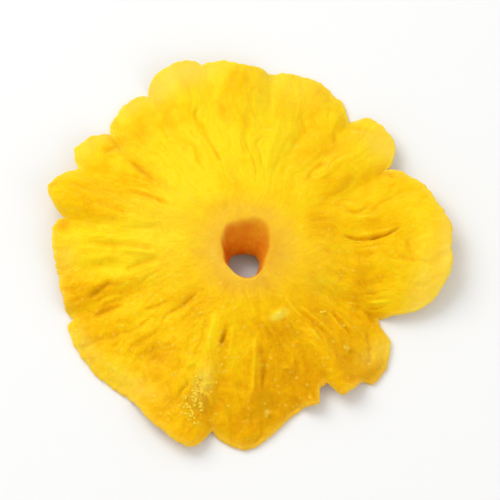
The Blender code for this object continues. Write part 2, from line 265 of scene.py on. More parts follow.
# Fibres fan out from the core, and thin broken grooves run between them. Each kind has its waves round the
# ring, its waves outwards and its height or depth. They sway sideways, and the lumps between them rise, by
# a length and a size. The front of the slice is rougher than the back.
FIBRES = ((5.0, 1.8, 0.20 * MM), (12.0, 3.4, 0.14 * MM), (30.0, 7.0, 0.07 * MM))
GROOVES = ((7.0, 2.6, 0.26 * MM), (15.0, 4.5, 0.18 * MM))
GROOVE_WIDTH = 0.13
GROOVE_PATCH = 56.0 * MM
GROOVE_PATCH_CONTRAST = 2.2
GROOVE_PATCH_SHARE = 0.35
FIBRE_START = 8.5 * MM
FIBRE_FULL = 24.0 * MM
SWAY = ((10.0 * MM, 3.2 * MM), (3.5 * MM, 1.2 * MM))
LUMPS = ((5.0 * MM, 0.36 * MM), (2.2 * MM, 0.23 * MM), (1.1 * MM, 0.15 * MM))
CORE_LUMPS = 0.5
SMOOTHEST = 0.45
ROUGH_SLOPE = 44.0 * MM
CORE_STEP = 0.10 * MM
CORE_STEP_WIDTH = 3.0 * MM

# Towards the rim the lines and the grooves fade out, and a share of the fibres and the lumps is left. On the
# lower face they only stand out, and never sink.
RELIEF_FADE = 1.2 * MM
RIM_LUMPS = 0.4
UNDERSIDE_LUMPS = 0.6

# Stains of the flesh, each at an angle and a distance in millimetres, with its half-length along the fibres,
# its half-width and its strength. Strength over zero is deeper gold, and under zero is paler yellow. A few
# along crease lines are painted shade in the creases, and one over a small knob is part of a painted
# highlight.
Stain = namedtuple("Stain", "angle radius along across strength")
STAINS = (
    Stain(93.7, 34.4, 5.0, 4.0, 0.35),
    Stain(69.0, 33.3, 5.5, 6.0, 0.18),
    Stain(99.5, 29.6, 3.0, 1.4, 0.40),
    Stain(130.9, 34.0, 3.0, 3.6, 0.50),
    Stain(143.0, 34.6, 1.4, 3.2, 0.35),
    # Painted shade along a crease line.
    Stain(141.6, 26.5, 5.0, 1.0, 0.40),
    Stain(162.5, 33.0, 4.5, 3.6, 0.33),
    Stain(173.5, 37.6, 1.6, 1.4, 0.60),
    Stain(107.3, 24.5, 8.0, 4.5, -0.40),
    Stain(128.6, 19.4, 6.0, 4.0, -0.35),
    Stain(176.8, 22.0, 10.0, 2.6, -0.35),
    Stain(190.6, 27.2, 8.0, 2.2, -0.35),
    Stain(177.0, 33.7, 5.0, 3.0, -0.30),
    Stain(167.0, 21.0, 6.0, 5.0, -0.20),
    Stain(196.0, 22.0, 6.0, 4.0, -0.12),
    Stain(207.0, 37.0, 3.0, 13.0, 0.12),
    Stain(71.8, 22.7, 7.0, 5.0, -0.32),
    Stain(76.0, 13.5, 4.0, 4.0, -0.30),
    Stain(48.8, 25.2, 6.0, 4.5, 0.05),
    Stain(33.0, 25.5, 6.0, 4.0, 0.12),
    Stain(19.3, 15.6, 3.5, 3.0, 0.35),
    Stain(1.8, 36.2, 3.0, 5.0, -0.35),
    Stain(345.4, 34.3, 3.6, 4.0, -0.25),
    Stain(345.0, 24.5, 5.0, 3.6, 0.22),
    Stain(331.0, 21.5, 4.5, 2.6, -0.60),
    Stain(316.0, 22.0, 5.0, 5.0, 0.14),
    Stain(345.0, 36.5, 3.5, 9.0, -0.14),
    # Paler over a small knob: part of its painted highlight.
    Stain(294.2, 16.4, 1.0, 1.8, -1.10),
    Stain(125.0, 9.0, 2.5, 9.0, 0.20),
    Stain(337.0, 30.5, 3.5, 3.0, -0.45),
    Stain(325.0, 20.3, 5.0, 3.5, 0.05),
    Stain(309.6, 30.8, 3.5, 2.6, 0.20),
    Stain(291.5, 19.3, 3.5, 3.5, 0.30),
    Stain(291.0, 31.5, 5.0, 4.0, 0.30),
    Stain(276.0, 34.0, 4.0, 3.0, 0.35),
    Stain(270.8, 37.4, 3.0, 3.0, 0.40),
    Stain(254.3, 35.9, 3.0, 2.6, 0.50),
    Stain(250.4, 21.8, 6.5, 1.6, -0.40),
    Stain(252.0, 30.0, 4.0, 4.5, -0.16),
    Stain(265.0, 24.0, 7.0, 2.0, -0.20),
    Stain(257.0, 20.4, 2.2, 0.5, 0.60),
    Stain(225.3, 36.8, 3.0, 5.0, -0.30),
    # Painted shade along two crease lines.
    Stain(197.5, 31.0, 4.0, 1.2, 0.20),
    Stain(205.0, 32.5, 3.5, 1.0, 0.15),
    Stain(315.0, 37.4, 1.4, 4.0, 0.50),
    Stain(249.0, 9.0, 2.0, 4.0, 0.20),
    Stain(313.2, 30.9, 0.50, 0.45, 1.20),
    Stain(277.4, 36.6, 0.50, 0.60, 0.70),
)

# Pale patches, in the same terms: the tips and edges of some petals, partly their own dry cut flesh and
# partly painted sheen where they catch the light, dry spots, painted highlights on the hole's lip, on top of
# two dark specks and on a small knob, and last three broad pale areas.
PALE = (
    # Petal tips and edges: dry cut flesh, with painted sheen where they catch the light.
    Stain(107.9, 39.8, 2.8, 6.0, 0.85),
    Stain(117.0, 38.6, 2.4, 3.0, 0.60),
    Stain(38.0, 35.6, 3.0, 4.5, 0.60),
    Stain(356.0, 40.8, 1.5, 10.0, 0.60),
    Stain(338.0, 37.5, 2.6, 7.0, 0.60),
    Stain(352.0, 38.0, 3.0, 8.0, 0.30),
    Stain(213.2, 38.6, 1.6, 5.0, 0.40),
    Stain(232.0, 37.6, 2.0, 6.0, 0.40),
    Stain(253.6, 31.0, 4.0, 1.6, 0.60),
    Stain(184.0, 36.6, 2.0, 3.0, 0.35),
    Stain(147.0, 38.8, 1.6, 4.0, 0.35),
    Stain(128.0, 39.2, 1.4, 4.0, 0.35),
    Stain(320.0, 35.0, 2.2, 4.0, 0.45),
    # Painted highlights on the hole's lip.
    Stain(194.0, 6.6, 0.9, 2.6, 0.35),
    Stain(246.0, 6.6, 0.8, 2.0, 0.30),
    # Painted highlights on top of two dark specks.
    Stain(276.9, 35.5, 0.50, 0.50, 0.90),
    Stain(313.2, 29.8, 0.50, 0.40, 0.90),
    # Painted highlight on a small knob.
    Stain(294.2, 16.4, 0.75, 1.70, 0.85),
    Stain(170.0, 17.0, 8.0, 11.0, 0.14),
    Stain(345.0, 14.0, 5.0, 7.0, 0.12),
    Stain(75.0, 36.5, 3.5, 7.0, 0.22),
)
# The thin rim is paler: partly its own dry cut edge, partly painted light that shines through the thin flesh.
RIM_PALENESS = 0.35
RIM_PALE_WIDTH = 1.1 * MM
CORE_PALENESS = 0.34
CORE_PALE_RADIUS = 0.95 * CORE_RADIUS
CORE_PALE_BLEND = 7.0 * MM

# The flesh is deeper gold in the core. Painted shade makes it deeper gold towards the front and the right,
# which face away from the light, and in the lines, the grooves and the creases; painted light makes raised
# lines paler.
TONE = 0.37
PAINTED_SHADE_BACKWARD = -0.38
PAINTED_SHADE_RIGHTWARD = 0.12
PAINTED_SHADE_AND_LIGHT_OF_DEPTH = 0.6
CREASE_SHADE = 0.25
CORE_TONE = 0.28
CORE_TONE_BLEND = 4.5 * MM
DARKEST_TONE = 2.0

# The hole's wall is painted orange, partly the core's own deeper colour and partly painted shade of the deep
# hole.
# Near the top, on the side of an angle, painted light makes it golden. A painted highlight, a pale band, lies
# on its lip on the other side, at a distance from the wall and with a half-width.
LIP_WARMTH = 0.24
LIP_WIDTH = 4.5 * MM
WALL_FILL = 1.25
WALL_PAINTED_LIGHT = 0.42
WALL_PAINTED_LIGHT_ANGLE = 25.0
LIP_HIGHLIGHT = (0.75 * MM, 0.55 * MM)
LIP_HIGHLIGHT_PALENESS = 0.40
LIP_HIGHLIGHT_WARMTH = 0.10

# Crumbs of dried flesh cling in a streak near one notch. The streak has an angle, the distances of its two
# ends and a width, in millimetres. A few more are strewn over the front, between two angles and between two
# distances. Each crumb is a ball with a random radius between two sizes, made lumpy, stretched and turned.
CRUMB_SEED = 7
CRUMB_STREAK = (252.5, 27.5, 36.0, 2.2)
STREAK_CRUMBS = 90
STRAY_ANGLES = (225.0, 322.0)
STRAY_DISTANCES = (14.0, 34.0)
STRAY_CRUMBS = 24
CRUMB_SIZES = (0.11 * MM, 0.34 * MM)
CRUMB_STRETCH = (1.5, 0.9, 0.55)
CRUMB_LUMPINESS = 0.6
CRUMB_LUMP_COUNT = 1.3
CRUMB_VARIETY = 900.0
CRUMB_LOOK = (("tone", 0.35), ("pale", 0.50), ("hole", 0.0), ("grain", 1.0))

# Patterns in the flesh's colour and shine. The first four have a count to the metre. The fans draw the noise
# out along the fibres. A speck is strongest in the middle of its cell, and only some cells have one.
CLOUD_COUNT = 130.0
MOTTLE_COUNT = 420.0
GRAIN_COUNT = 1100.0
SPECK_COUNT = 800.0
COARSE_FAN = (7.0, 7.0, 2.5)
FINE_FAN = (34.0, 34.0, 5.0)
SPECK_LEVEL = 1.8
SPECK_FALL = -5.0
SPECK_LIMIT = 0.62
SPECK_PALENESS = 0.35
PALE_UNEVENNESS = 1.2
WALL_COVER = 0.90
WALL_MOTTLE = 0.7

# The tone's share of the clouds, the mottle, the streaks, the fibres and the grain, and the bumps' share of
# the fibres, the mottle, the specks and the grain.
TONE_SHARES = (0.90, 0.65, 0.50, 0.35, 0.60)
BUMP_SHARES = (0.7, 0.8, 0.35, 1.0)
BUMP_HEIGHT = 0.35 * MM
BUMP_STRENGTH = 0.6
SURFACE_ROUGHNESS = 0.40
ROUGHNESS_MOTTLE = 0.35
SHINE = 0.30

# Light goes into the flesh to a depth, and red light goes further than green and blue.
SCATTER_COLOURS = (1.0, 0.42, 0.08)
SCATTER_DEPTH = 1.4 * MM

# Colours of the flesh from the palest tone to the deepest, the deepest also standing for painted shade in
# creases, of its dry tips, which also carry painted sheen and highlights, the hole's wall, which is partly
# painted shade, and the shine.
LEMON = (0.97, 0.68, 0.008)
GOLD = (0.94, 0.54, 0.002)
DEEP_GOLD = (0.79, 0.375, 0.001)
# The darkest colour also stands for painted shade in deep creases.
DARK_GOLD_AND_CREASE_SHADE = (0.52, 0.27, 0.001)
PALE_FLESH = (0.97, 0.70, 0.080)
WALL_ORANGE_AND_SHADE = (0.72, 0.12, 0.0004)
SHEEN = (1.0, 0.76, 0.08)

# The floor lies just under the fruit's lowest points.
FLOOR_WHITE = (0.90, 0.90, 0.89)
FLOOR_HALF_WIDTH = 4.0
FLOOR_GAP = 0.02 * MM


def mix(first, second, share):
    return first + (second - first) * share


def ease(share):
    """Goes from 0 to 1 with a level start and end."""
    share = np.clip(share, 0.0, 1.0)
    return share * share * (3.0 - 2.0 * share)


def step_over(distance, width):
    """Goes from 0 to 1 over a width, and is halfway where the distance is 0."""
    return ease(distance / width + 0.5)


def turn_between(angle, other):
    """The turn from one angle to another, from -180 to 180 degrees."""
    return (angle - other + 180.0) % 360.0 - 180.0


def smooth_noise(points):
    """Noise from about -1 to 1 at each point, with lumps of size 1."""
    return np.array([noise.noise(point) for point in points.tolist()])


def on_plane(angle, radius):
    turn = np.radians(angle)
    return radius * np.cos(turn), radius * np.sin(turn)


def petals_at(angle):
    """The petal at each angle, the one after it, and where the angle lies between their notches."""
    table = np.array(PETALS)
    index = (np.searchsorted(table[:, 0], angle % 360.0, side="right") - 1) % len(table)
    here = Petal(*table[index].T)
    after = Petal(*table[(index + 1) % len(table)].T)
    share = (angle - here.start) % 360.0 / ((after.start - here.start) % 360.0)
    return here, after, share


def rim_radius(angle):
    """Distance of the rim from the middle of the hole, before it is made ragged."""
    petal, after, share = petals_at(angle)
    straight = mix(petal.notch, after.notch, share)
    rise = petal.reach - mix(petal.notch, after.notch, petal.lean)
    swell = np.sin(math.pi * share ** (math.log(0.5) / np.log(petal.lean)))
    return straight + rise * np.maximum(swell, 0.0) ** petal.power


def ragged_rim(angle):
    """Distance of the rim with its torn corners, and its small nicks and bulges."""
    turn = np.radians(angle)
    circle = np.stack([np.cos(turn), np.sin(turn), np.zeros_like(turn)], axis=1) * BLANK_RIM
    ragged = sum(height * smooth_noise(circle / length) for length, height in RAGGED)
    corners, distances = np.array(TORN_RIM).T
    torn = ease((angle - corners[0]) / TORN_FADE) * ease((corners[-1] - angle) / TORN_FADE)
    rim = mix(rim_radius(angle), np.interp(angle, corners, distances) * MM, torn)
    return rim + ragged * mix(1.0, TORN_RAGGEDNESS, torn)


def ripples(angle, kinds):
    """How far ripples move the hole's wall outwards. Each has its count, its height and a crest's angle."""
    return sum(height * np.cos(count * np.radians(angle - crest)) for count, height, crest in kinds)


def hole_radius(angle, up):
    """Distance of the hole's wall from its middle. Up is 1 at the upper face and -1 at the lower one."""
    length, height = WALL_UNEVENNESS
    wall = np.stack([*on_plane(angle, HOLE_TOP_RADIUS), up * HUB_THICKNESS / 2.0], axis=1)
    top = HOLE_TOP_RADIUS + ripples(angle, HOLE_RIPPLES) + height * smooth_noise(wall / length)
    bottom = HOLE_LOW_RADIUS + ripples(angle, HOLE_LOW_RIPPLES) * (1.0 - HOLE_EVENING)
    return mix(top, bottom, ease((1.0 - up) / 2.0))


def hole_lean(radius, up):
    """How far the flesh near the hole leans. It leans most at the lower face."""
    near = 1.0 - ease((radius - HOLE_LOW_RADIUS) / HOLE_LEAN_SPREAD)
    return HOLE_LEAN * near * (1.0 - up) / 2.0


def rim_lift(angle):
    """Height of the rim's underside, eased from one petal's tip to the next."""
    petals = Petal(*np.array(PETALS).T)
    tips = petals.start + petals.lean * ((np.roll(petals.start, -1) - petals.start) % 360.0)
    index = (np.searchsorted(tips, angle % 360.0, side="right") - 1) % len(tips)
    after = (index + 1) % len(tips)
    share = (angle - tips[index]) % 360.0 / ((tips[after] - tips[index]) % 360.0)
    return mix(petals.lift[index], petals.lift[after], ease(share))


def creases():
    """The valley that runs in from each notch, and the slice's other folds."""
    for petal in PETALS:
        inner = petal.valley_start * petal.notch
        yield Crease(petal.start, petal.start, inner, petal.notch, petal.valley, VALLEY_HALF_WIDTH)
    yield from FOLDS


def crease_depth(angle, radius):
    """How far the creases sink the flesh at each point."""
    depth = np.zeros_like(angle)
    for crease in creases():
        along = (radius - crease.inner) / (crease.outer - crease.inner)
        line = mix(crease.inner_angle, crease.outer_angle, np.clip(along, 0.0, 1.0))
        aside = np.radians(turn_between(angle, line)) * radius
        beyond = np.maximum(np.maximum(crease.inner - radius, radius - crease.outer), 0.0)
        across = np.exp(-((aside / crease.half_width) ** 2))
        depth += crease.depth * across * (1.0 - ease(beyond / CREASE_FADE)) * step_over(along, 1.0)
    return depth


def middle_height(angle, radius):
    """Height of the middle of the flesh."""
    petal, _, share = petals_at(angle)
    edge = mix(BLANK_RIM, rim_radius(angle), NOTCH_DROOP)
    out = np.maximum(radius - HOLE_TOP_RADIUS, 0.0) / (edge - HOLE_TOP_RADIUS)
    hub = HUB_CLEARANCE + HUB_THICKNESS / 2.0
    rim = rim_lift(angle) + RIM_THICKNESS / 2.0
    across = np.sin(math.pi * share) ** 2
    belly = PETAL_BELLY * across * ease((out - BELLY_START) / (1.0 - BELLY_START))
    curl = petal.curl * across * ease((out - CURL_START) / (1.0 - CURL_START))
    flat = np.stack([*on_plane(angle, radius), np.zeros_like(angle)], axis=1)
    warp = WARP_HEIGHT * smooth_noise(flat / WARP_LENGTH) * ease(out * WARP_GROWTH)
    fold = crease_depth(angle, radius) * (1.0 - CREASE_THINNING)
    return mix(hub, rim, out**DROOP) + belly + curl + warp - fold


def half_thickness(radius, out):
    """Half the thickness of the flesh, with the core's zone a little thinner than the flesh round it."""
    core = step_over(CORE_RADIUS - radius, CORE_BLEND)
    return mix(HUB_THICKNESS, RIM_THICKNESS, ease(out) ** THINNING_POWER) / 2.0 - core * CORE_DIP / 2.0


def line_depth(angle, radius):
    """How far the fine lines sink the upper face, or raise it where under zero."""
    x, y = on_plane(angle, radius)
    depth = np.zeros_like(angle)
    for line in LINES:
        corners = np.array([on_plane(turn, distance * MM) for turn, distance in line.points])
        lengths = np.hypot(*np.diff(corners, axis=0).T)
        before = np.concatenate([[0.0], np.cumsum(lengths)])
        nearest = np.full_like(angle, np.inf)
        where = np.zeros_like(angle)
        for (ax, ay), (bx, by), length, start in zip(corners, corners[1:], lengths, before):
            share = np.clip(((x - ax) * (bx - ax) + (y - ay) * (by - ay)) / length**2, 0.0, 1.0)
            gap = np.hypot(x - mix(ax, bx, share), y - mix(ay, by, share))
            where = np.where(gap < nearest, start + share * length, where)
            nearest = np.minimum(gap, nearest)
        left = before[-1] - where
        taper = ease((where + LINE_OVERRUN) / LINE_TAPER) * ease((left + LINE_OVERRUN) / LINE_TAPER)
        across = np.exp(-((nearest / (line.half_width * LINE_NARROWING)) ** 2))
        depth += line.depth * LINE_DEEPENING * taper * across
    return depth


def roughness_at(angle, radius):
    """How rough the flesh is, from its smooth back to its grainy front."""
    _, backward = on_plane(angle, radius)
    return mix(SMOOTHEST, 1.0, step_over(-backward, ROUGH_SLOPE))


def swayed(angle, radius):
    """The direction of the fibres at each point, in radians, as they waver."""
    flat = np.stack([*on_plane(angle, radius), np.zeros_like(angle)], axis=1)
    aside = sum(size * smooth_noise(flat / length) for length, size in SWAY)
    return np.radians(angle) + aside / np.maximum(radius, CORE_RADIUS)


def along_fibres(turn, radius, around, outward):
    """Noise drawn out along the fibres."""
    points = np.stack([np.cos(turn) * around, np.sin(turn) * around, radius / BLANK_RIM * outward], axis=1)
    return smooth_noise(points)


def beyond_core(radius):
    """Goes from 0 in the core's zone to 1 out in the petals."""
    return ease((radius - FIBRE_START) / (FIBRE_FULL - FIBRE_START))


def groove_depth(angle, radius):
    """How far the thin grooves between the fibres sink the upper face."""
    turn = swayed(angle, radius)
    flat = np.stack([*on_plane(angle, radius), np.ones_like(angle)], axis=1)
    depth = np.zeros_like(angle)
    for around, outward, size in GROOVES:
        across = np.exp(-((along_fibres(turn, radius, around, outward) / GROOVE_WIDTH) ** 2))
        patches = smooth_noise(flat / GROOVE_PATCH * around)
        depth += size * across * ease(GROOVE_PATCH_CONTRAST * patches + GROOVE_PATCH_SHARE)
    return depth * beyond_core(radius)


def relief(angle, radius, place):
    """Height of the fibres and the lumps."""
    turn = swayed(angle, radius)
    fibres = sum(size * along_fibres(turn, radius, around, outward) for around, outward, size in FIBRES)
    lumps = sum(size * smooth_noise(place / length) for length, size in LUMPS)
    outside = beyond_core(radius)
    return fibres * outside + lumps * roughness_at(angle, radius) * mix(CORE_LUMPS, 1.0, outside)


def stain_total(stains, angle, radius):
    """Total strength of the stains at each point."""
    total = np.zeros_like(angle)
    for stain in stains:
        along = (radius / MM - stain.radius) / stain.along
        across = np.radians(turn_between(angle, stain.angle)) * radius / MM / stain.across
        total += stain.strength * np.exp(-(along**2 + across**2))
    return total


def section():
    """The blank's cross-section, as (out, up): up is 1 on the upper face and -1 on the lower one."""
    wall = HOLE_LIP / (BLANK_RIM - BLANK_HOLE)
    edge = EDGE_ROUNDING / (BLANK_RIM - BLANK_HOLE)
    points = [(mix(wall, 1.0 - edge, i / UPPER_BANDS), 1.0) for i in range(UPPER_BANDS + 1)]
    for i in range(1, EDGE_STEPS):
        turn = math.pi * i / EDGE_STEPS
        points.append((1.0 - edge * (1.0 - math.sin(turn)), math.cos(turn)))
    points += [(mix(1.0 - edge, wall, i / LOWER_BANDS), -1.0) for i in range(LOWER_BANDS + 1)]
    for i in range(1, WALL_STEPS):
        turn = math.pi * i / WALL_STEPS
        points.append((wall * (1.0 - math.sin(turn)), -math.cos(turn)))
    return points


def step_angles():
    """The angles of the rows of points, with a row on each notch."""
    angles = []
    for petal, after in zip(PETALS, PETALS[1:] + PETALS[:1]):
        width = (after.start - petal.start) % 360.0
        steps = round(width / STEP_DEGREES)
        angles += [petal.start + width * step / steps for step in range(steps)]
    return np.array(angles)


def rolled_blank(rows):
    """A flat ring with round edges: a grid of points that is rolled up both ways and welded."""
    points = section()
    blank = bmesh.new()
    bmesh.ops.create_grid(blank, x_segments=len(points), y_segments=rows, size=0.5)
    for vert in blank.verts:
        out, up = points[round((vert.co.x + 0.5) * len(points)) % len(points)]
        turn = math.tau * (round((vert.co.y + 0.5) * rows) % rows) / rows
        radius = mix(BLANK_HOLE, BLANK_RIM, out)
        vert.co = (radius * math.cos(turn), radius * math.sin(turn), up * BLANK_HALF_THICKNESS)
    bmesh.ops.remove_doubles(blank, verts=blank.verts, dist=WELD_GAP)
    bmesh.ops.recalc_face_normals(blank, faces=blank.faces)
    return blank


def dried(angle, out, up, rim):
    """Where each point of the blank lies in the dried ring, and its distance from the middle of the hole."""
    radius = mix(hole_radius(angle, up), BLANK_RIM, out) + (rim - BLANK_RIM) * out**2
    half = half_thickness(radius, out)
    above = ease((up + 1.0) / 2.0)
    middle = np.maximum(middle_height(angle, radius), half)
    thinned = 2.0 * half * EDGE_THINNING * (1.0 - ease((rim - radius) / EDGE_TAPER))
    lifted = ease((middle - half) / PRESSED_HEIGHT)
    upper_face = middle + half - thinned * (1.0 - lifted) - crease_depth(angle, radius) * CREASE_THINNING
    lower_face = middle - half + thinned * lifted
    height = mix(lower_face, upper_face, (up + 1.0) / 2.0)
    x, y = on_plane(angle, radius)
    aside, forward = on_plane(HOLE_LEAN_ANGLE, hole_lean(radius, up))
    place = np.stack([x + aside, y + forward + HUB_FORWARD * out**DROOP, height], axis=1)
    fading = ease((rim - radius) / RELIEF_FADE)
    bumps = relief(angle, radius, place)
    core = step_over(CORE_RADIUS - radius, CORE_STEP_WIDTH)
    sunk = line_depth(angle, radius) + groove_depth(angle, radius)
    upper = bumps * mix(RIM_LUMPS, 1.0, fading) - sunk * fading - core * CORE_STEP
    place[:, 2] += mix(-UNDERSIDE_LUMPS * np.abs(bumps), upper, above)
    place[:, 2] = np.maximum(place[:, 2], 0.0)
    return place, radius


def set_number(mesh, name, values):
    """Keeps a number on each point of a mesh for the material to read."""
    mesh.attributes.new(name, "FLOAT", "POINT").data.foreach_set("value", values.astype(np.float32))


def set_vectors(mesh, name, vectors):
    """Keeps a vector on each point of a mesh for the material to read."""
    kept = mesh.attributes.new(name, "FLOAT_VECTOR", "POINT")
    kept.data.foreach_set("vector", vectors.astype(np.float32).ravel())


def colour_numbers(mesh, angle, radius, up, rim, inside):
    """Keeps what the flesh's colour depends on: its tone, with painted shade and light, its paleness, with
    painted light and highlights, its place in the hole, grain and fibres.
    """
    x, y = on_plane(angle, radius)
    creased = CREASE_SHADE * crease_depth(angle, radius)
    sunk = line_depth(angle, radius) + creased + groove_depth(angle, radius)
    # Painted shade: deeper gold towards the front and the right, which face away from the light.
    tone = TONE + (PAINTED_SHADE_BACKWARD * y + PAINTED_SHADE_RIGHTWARD * x) / BLANK_RIM
    # Painted shade: deeper gold where lines, grooves and creases sink; painted light: paler where lines are
    # raised.
    tone += stain_total(STAINS, angle, radius) + PAINTED_SHADE_AND_LIGHT_OF_DEPTH * sunk / MM
    near_rim = np.exp(-(((rim - radius) / RIM_PALE_WIDTH) ** 2))
    core = step_over(CORE_PALE_RADIUS - radius, CORE_PALE_BLEND)
    tone += CORE_TONE * step_over(CORE_RADIUS - radius, CORE_TONE_BLEND)
    # Painted light: the wall is golden on the side of this angle, which faces the light.
    lit_wall_side = 0.5 + 0.5 * np.cos(np.radians(angle - WALL_PAINTED_LIGHT_ANGLE))
    distance, half_width = LIP_HIGHLIGHT
    lip_edge = hole_radius(angle, np.ones_like(angle))
    # Painted highlight: a pale band on the lip, opposite the lit side of the wall.
    lip_highlight = np.exp(-(((radius - lip_edge - distance) / half_width) ** 2)) * (1.0 - lit_wall_side)
    # Paleness: painted light through the thin rim, the lip's painted highlight, the core's own paler flesh
    # and the pale patches.
    pale = RIM_PALENESS * near_rim + CORE_PALENESS * core + LIP_HIGHLIGHT_PALENESS * lip_highlight
    pale += stain_total(PALE, angle, radius)
    turn = swayed(angle, radius)
    fan = np.stack([np.cos(turn), np.sin(turn), radius / BLANK_RIM], axis=1)
    set_number(mesh, "tone", tone)
    set_number(mesh, "pale", pale)
    lip = LIP_WARMTH * (1.0 - ease((radius - HOLE_TOP_RADIUS) / LIP_WIDTH)) + LIP_HIGHLIGHT_WARMTH * lip_highlight
    # The wall's orange is partly painted shade, and its lit side is turned golden as painted light.
    wall = ease(inside * WALL_FILL) * (1.0 - WALL_PAINTED_LIGHT * lit_wall_side * (up + 1.0) / 2.0)
    set_number(mesh, "hole", np.minimum(wall + lip * (1.0 - wall), 1.0))
    set_number(mesh, "grain", roughness_at(angle, radius))
    set_vectors(mesh, "fan", fan)


def fruit(material):
    """The whole ring of fruit. Returns it with the shift that centres it, as the solid is centred."""
    angles = step_angles()
    body = rolled_blank(len(angles))
    mesh = bpy.data.meshes.new("fruit")
    body.to_mesh(mesh)
    body.free()
    blank = np.zeros(len(mesh.vertices) * 3)
    mesh.vertices.foreach_get("co", blank)
    x, y, z = blank.reshape(-1, 3).T
    row = np.round(np.arctan2(y, x) / math.tau * len(angles)).astype(int) % len(angles)
    angle, rim = angles[row], ragged_rim(angles)[row]
    out = np.maximum(np.hypot(x, y) - BLANK_HOLE, 0.0) / (BLANK_RIM - BLANK_HOLE)
    place, radius = dried(angle, out, z / BLANK_HALF_THICKNESS, rim)
    inside = np.clip(1.0 - out * (BLANK_RIM - BLANK_HOLE) / HOLE_LIP, 0.0, 1.0)
    colour_numbers(mesh, angle, radius, z / BLANK_HALF_THICKNESS, rim, inside)
    low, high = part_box("pineapple_ring")
    middle = (place.min(axis=0) + place.max(axis=0)) / 2.0
    shift = np.array([(low.x + high.x) / 2.0 - middle[0], (low.y + high.y) / 2.0 - middle[1], 0.0])
    mesh.vertices.foreach_set("co", (place + shift).ravel())
    mesh.update()
    mesh.shade_smooth()
    mesh.materials.append(material)
    ring = bpy.data.objects.new("fruit", mesh)
    bpy.context.scene.collection.objects.link(ring)
    return ring, shift


def crumb_spots(chance):
    """Angle and distance of each crumb, in degrees and millimetres."""
    angle, inner, outer, spread = CRUMB_STREAK
    for _ in range(STREAK_CRUMBS):
        radius = chance.uniform(inner, outer)
        yield angle + math.degrees(chance.gauss(0.0, spread * 0.5) / radius), radius
    for _ in range(STRAY_CRUMBS):
        yield chance.uniform(*STRAY_ANGLES), chance.uniform(*STRAY_DISTANCES)


def crumbs(material, shift):
    """Crumbs of dried flesh that cling to the upper face, half sunk in it."""
    chance = random.Random(CRUMB_SEED)
    around, distance = np.array(list(crumb_spots(chance))).T
    out = (distance * MM - HOLE_TOP_RADIUS) / (BLANK_RIM - HOLE_TOP_RADIUS)
    place, _ = dried(around, out, np.ones_like(out), ragged_rim(around))
    heap = bmesh.new()
    for spot in place + shift:
        size = chance.uniform(*CRUMB_SIZES)
        made = bmesh.ops.create_icosphere(heap, subdivisions=2, radius=size)["verts"]
        turn = Matrix.Rotation(chance.uniform(0.0, math.tau), 3, "Z")
        for vert in made:
            lump = noise.noise(vert.co / size * CRUMB_LUMP_COUNT + Vector(spot) * CRUMB_VARIETY)
            vert.co *= 1.0 + CRUMB_LUMPINESS * lump
            drawn_out = [part * factor for part, factor in zip(vert.co, CRUMB_STRETCH)]
            vert.co = turn @ Vector(drawn_out)
        bmesh.ops.translate(heap, verts=made, vec=Vector(spot))
    mesh = bpy.data.meshes.new("crumbs")
    heap.to_mesh(mesh)
    heap.free()
    count = len(mesh.vertices)
    for name, value in CRUMB_LOOK:
        set_number(mesh, name, np.full(count, value))
    set_vectors(mesh, "fan", np.zeros((count, 3)))
    mesh.shade_smooth()
    mesh.materials.append(material)
    loose = bpy.data.objects.new("crumbs", mesh)
    bpy.context.scene.collection.objects.link(loose)
    return loose


def add(tree, kind, inputs=None, **settings):
    """Adds a shader node. Each input is a value, or the socket that feeds it."""
    node = tree.nodes.new(kind)
    for name, value in settings.items():
        setattr(node, name, value)
    for name, value in (inputs or {}).items():
        if isinstance(value, bpy.types.NodeSocket):
            tree.links.new(value, node.inputs[name])
        else:
            node.inputs[name].default_value = value
    return node


def blended(tree, share, first, second):
    """A colour between a socket's and a plain one. Sockets 6 and 7 of the node take its two colours."""
    node = add(tree, "ShaderNodeMix", {0: share, 6: first, 7: (*second, 1.0)}, data_type="RGBA")
    return node.outputs[2]


def maths(tree, operation, first, second=0.0, third=0.0, clamp=False):
    """The result of one sum, product or other operation on numbers."""
    node = add(tree, "ShaderNodeMath", {0: first, 1: second, 2: third}, operation=operation, use_clamp=clamp)
    return node.outputs[0]


def spots(tree, vector, scale, detail=3.0, roughness=0.55, distortion=0.0):
    """Noise about zero."""
    inputs = {"Vector": vector, "Scale": scale, "Detail": detail, "Roughness": roughness}
    inputs["Distortion"] = distortion
    node = add(tree, "ShaderNodeTexNoise", inputs)
    return maths(tree, "SUBTRACT", node.outputs[0], 0.5)


def stretched(tree, vector, factors):
    """A vector multiplied by a factor on each axis."""
    node = add(tree, "ShaderNodeVectorMath", {0: vector, 1: factors}, operation="MULTIPLY")
    return node.outputs[0]


def number(tree, name):
    """A number that the mesh keeps on its points."""
    return add(tree, "ShaderNodeAttribute", attribute_name=name).outputs["Fac"]


def layered(tree, base, patterns):
    """A base number with each pattern added at its strength."""
    for pattern, strength in patterns:
        base = maths(tree, "MULTIPLY_ADD", pattern, strength, base)
    return base


def ramp(tree, factor, stops):
    """A colour ramp through (place, colour) stops."""
    node = add(tree, "ShaderNodeValToRGB", {"Fac": factor})
    elements = node.color_ramp.elements
    while len(elements) < len(stops):
        elements.new(0.5)
    for element, (place, colour) in zip(elements, stops):
        element.position = place
        element.color = (*colour, 1.0)
    return node.outputs[0]


